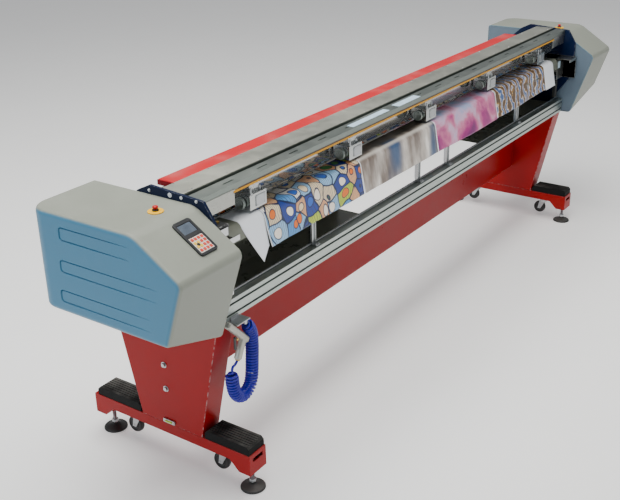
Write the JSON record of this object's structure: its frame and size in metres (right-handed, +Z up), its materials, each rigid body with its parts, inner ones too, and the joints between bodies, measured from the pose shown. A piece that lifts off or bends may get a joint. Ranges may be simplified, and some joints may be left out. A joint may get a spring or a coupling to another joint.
{
  "type": "printer cutter",
  "caption": "Full-width roll printer cutter: two moulded end hoods on a red welded stand, a cross-cutting beam with slitting heads, hanging printed strips and an air gun on a coiled hose.",
  "frame": {"origin": "centre of the machine's footprint on the floor, at the bottom centre of its box", "axes": "+X runs along the machine to the end away from the keypad, the operator's side is -Y, +Z is up"},
  "size_m": [4.024, 0.8708, 1.21],
  "materials": {
    "red_paint": "satin powder coat",
    "tread_rubber": "ribbed",
    "bolt_steel": "zinc plated",
    "level_body": "satin",
    "front_alloy": "anodised",
    "navy_paint": "satin",
    "hood_shell": "fine textured paint",
    "panel_paint": "satin",
    "beam_alloy": "anodised",
    "cover_plate": "anodised",
    "yellow_paint": "satin",
    "clear_plastic": "clear",
    "bar_red": "red powder coat",
    "dark_sheet": "satin",
    "bracket_steel": "brushed",
    "ground_steel": "ground",
    "blade_steel": "ground",
    "feed_grip": "matt",
    "pinch_grip": "matt",
    "drive_black": "satin black",
    "collar_yellow": "gloss",
    "stop_red": "gloss",
    "keypad_frame": "fine texture",
    "key_red": "satin",
    "gun_body": "die cast",
    "gun_trigger": "satin",
    "hose_blue": "translucent polyurethane",
    "print_vinyl": "printed vinyl",
    "foot_black": "black",
    "fork_zinc": "zinc plated",
    "wheel_rubber": "matt",
    "head_steel": "polished",
    "wheel_steel": "ground"
  },
  "bodies": {
    "machine": {"foot_beam_left": "red_paint", "foot_beam_right": "red_paint", "foot_treads": "tread_rubber", "leg_left": "red_paint", "leg_right": "red_paint", "frame_bolts": "bolt_steel", "spirit_levels": "level_body", "stretcher": "red_paint", "front_beam": "front_alloy", "side_frame_left": "navy_paint", "side_frame_right": "navy_paint", "hood_left": "hood_shell", "hood_right": "hood_shell", "hood_panels": "panel_paint", "knife_beam": "beam_alloy", "beam_covers": "cover_plate", "yellow_strip": "yellow_paint", "clear_guard": "clear_plastic", "rear_guard_bar": "bar_red", "output_guide": "dark_sheet", "guide_brackets": "bracket_steel", "cutter_rail": "ground_steel", "fixed_blade": "blade_steel", "drive_unit": "drive_black", "scrap_tray": "dark_sheet", "stop_collars": "collar_yellow", "keypad_case": "keypad_frame", "keypad_keys": "key_red", "air_gun": "gun_body", "gun_hook": "bolt_steel", "air_hose": "hose_blue", "printed_strips": "print_vinyl"},
    "cross_blade": {"cross_blade": "blade_steel"},
    "feed_roller": {"feed_roller": "feed_grip"},
    "pinch_roller": {"pinch_roller": "pinch_grip"},
    "stop_button_left": {"stop_button_left": "stop_red"},
    "stop_button_right": {"stop_button_right": "stop_red"},
    "air_gun_trigger": {"air_gun_trigger": "gun_trigger"},
    "levelling_foot_1": {"levelling_foot_1": "foot_black"},
    "levelling_foot_2": {"levelling_foot_2": "foot_black"},
    "levelling_foot_3": {"levelling_foot_3": "foot_black"},
    "levelling_foot_4": {"levelling_foot_4": "foot_black"},
    "caster_fork_1": {"caster_fork_1": "fork_zinc"},
    "caster_fork_2": {"caster_fork_2": "fork_zinc"},
    "caster_fork_3": {"caster_fork_3": "fork_zinc"},
    "caster_fork_4": {"caster_fork_4": "fork_zinc"},
    "caster_wheel_1": {"caster_wheel_1": "wheel_rubber"},
    "caster_wheel_2": {"caster_wheel_2": "wheel_rubber"},
    "caster_wheel_3": {"caster_wheel_3": "wheel_rubber"},
    "caster_wheel_4": {"caster_wheel_4": "wheel_rubber"},
    "cutter_head_1": {"cutter_head_1": "head_steel"},
    "cutter_head_2": {"cutter_head_2": "head_steel"},
    "cutter_head_3": {"cutter_head_3": "head_steel"},
    "cutter_head_4": {"cutter_head_4": "head_steel"},
    "cutter_head_5": {"cutter_head_5": "head_steel"},
    "cutter_wheel_1": {"cutter_wheel_1": "wheel_steel"},
    "cutter_wheel_2": {"cutter_wheel_2": "wheel_steel"},
    "cutter_wheel_3": {"cutter_wheel_3": "wheel_steel"},
    "cutter_wheel_4": {"cutter_wheel_4": "wheel_steel"},
    "cutter_wheel_5": {"cutter_wheel_5": "wheel_steel"}
  },
  "joints": [
    {"name": "foot_1_screw", "type": "slide", "parent": "machine", "child": "levelling_foot_1", "axis": [0, 0, 1], "range_m": [-0.03, 0.02]},
    {"name": "foot_2_screw", "type": "slide", "parent": "machine", "child": "levelling_foot_2", "axis": [0, 0, 1], "range_m": [-0.03, 0.02]},
    {"name": "foot_3_screw", "type": "slide", "parent": "machine", "child": "levelling_foot_3", "axis": [0, 0, 1], "range_m": [-0.03, 0.02]},
    {"name": "foot_4_screw", "type": "slide", "parent": "machine", "child": "levelling_foot_4", "axis": [0, 0, 1], "range_m": [-0.03, 0.02]},
    {"name": "caster_1_swivel", "type": "hinge", "parent": "machine", "child": "caster_fork_1", "pos_m": [-1.618, -0.233, 0.15], "axis": [0, 0, 1], "continuous": true},
    {"name": "caster_1_roll", "type": "hinge", "parent": "caster_fork_1", "child": "caster_wheel_1", "pos_m": [-1.618, -0.211, 0.0675], "axis": [1, 0, 0], "continuous": true},
    {"name": "caster_2_swivel", "type": "hinge", "parent": "machine", "child": "caster_fork_2", "pos_m": [1.618, -0.233, 0.15], "axis": [0, 0, 1], "continuous": true},
    {"name": "caster_2_roll", "type": "hinge", "parent": "caster_fork_2", "child": "caster_wheel_2", "pos_m": [1.618, -0.211, 0.0675], "axis": [1, 0, 0], "continuous": true},
    {"name": "caster_3_swivel", "type": "hinge", "parent": "machine", "child": "caster_fork_3", "pos_m": [-1.618, 0.233, 0.15], "axis": [0, 0, 1], "continuous": true},
    {"name": "caster_3_roll", "type": "hinge", "parent": "caster_fork_3", "child": "caster_wheel_3", "pos_m": [-1.618, 0.255, 0.0675], "axis": [1, 0, 0], "continuous": true},
    {"name": "caster_4_swivel", "type": "hinge", "parent": "machine", "child": "caster_fork_4", "pos_m": [1.618, 0.233, 0.15], "axis": [0, 0, 1], "continuous": true},
    {"name": "caster_4_roll", "type": "hinge", "parent": "caster_fork_4", "child": "caster_wheel_4", "pos_m": [1.618, 0.255, 0.0675], "axis": [1, 0, 0], "continuous": true},
    {"name": "head_1_slide", "type": "slide", "parent": "machine", "child": "cutter_head_1", "axis": [1, 0, 0], "range_m": [-0.11, 0.28]},
    {"name": "cutter_1_spin", "type": "hinge", "parent": "cutter_head_1", "child": "cutter_wheel_1", "pos_m": [-1.355, -0.2, 1.0605], "axis": [1, 0, 0], "continuous": true},
    {"name": "head_2_slide", "type": "slide", "parent": "machine", "child": "cutter_head_2", "axis": [1, 0, 0], "range_m": [-0.28, 0.28]},
    {"name": "cutter_2_spin", "type": "hinge", "parent": "cutter_head_2", "child": "cutter_wheel_2", "pos_m": [-0.6775, -0.2, 1.0605], "axis": [1, 0, 0], "continuous": true},
    {"name": "head_3_slide", "type": "slide", "parent": "machine", "child": "cutter_head_3", "axis": [1, 0, 0], "range_m": [-0.28, 0.28]},
    {"name": "cutter_3_spin", "type": "hinge", "parent": "cutter_head_3", "child": "cutter_wheel_3", "pos_m": [0, -0.2, 1.0605], "axis": [1, 0, 0], "continuous": true},
    {"name": "head_4_slide", "type": "slide", "parent": "machine", "child": "cutter_head_4", "axis": [1, 0, 0], "range_m": [-0.28, 0.28]},
    {"name": "cutter_4_spin", "type": "hinge", "parent": "cutter_head_4", "child": "cutter_wheel_4", "pos_m": [0.6775, -0.2, 1.0605], "axis": [1, 0, 0], "continuous": true},
    {"name": "head_5_slide", "type": "slide", "parent": "machine", "child": "cutter_head_5", "axis": [1, 0, 0], "range_m": [-0.28, 0.11]},
    {"name": "cutter_5_spin", "type": "hinge", "parent": "cutter_head_5", "child": "cutter_wheel_5", "pos_m": [1.355, -0.2, 1.0605], "axis": [1, 0, 0], "continuous": true},
    {"name": "blade_stroke", "type": "slide", "parent": "machine", "child": "cross_blade", "axis": [0, 0, 1], "range_m": [-0.016, 0]},
    {"name": "feed_turn", "type": "hinge", "parent": "machine", "child": "feed_roller", "pos_m": [0, -0.1, 1.0126], "axis": [1, 0, 0], "continuous": true},
    {"name": "pinch_turn", "type": "hinge", "parent": "machine", "child": "pinch_roller", "pos_m": [0, -0.1, 1.0664], "axis": [1, 0, 0], "continuous": true},
    {"name": "stop_press_left", "type": "slide", "parent": "machine", "child": "stop_button_left", "axis": [0, 0, 1], "range_m": [-0.004, 0]},
    {"name": "stop_press_right", "type": "slide", "parent": "machine", "child": "stop_button_right", "axis": [0, 0, 1], "range_m": [-0.004, 0]},
    {"name": "trigger_pull", "type": "hinge", "parent": "machine", "child": "air_gun_trigger", "pos_m": [-1.606, -0.301, 0.635], "axis": [0, -1, 0], "range_deg": [0, 10], "stiffness_Nm_per_rad": 0.3, "springref_deg": -11.46}
  ],
  "couplings": [
    {"joint": "pinch_turn", "follows": "feed_turn", "ratio": -1.3636}
  ]
}
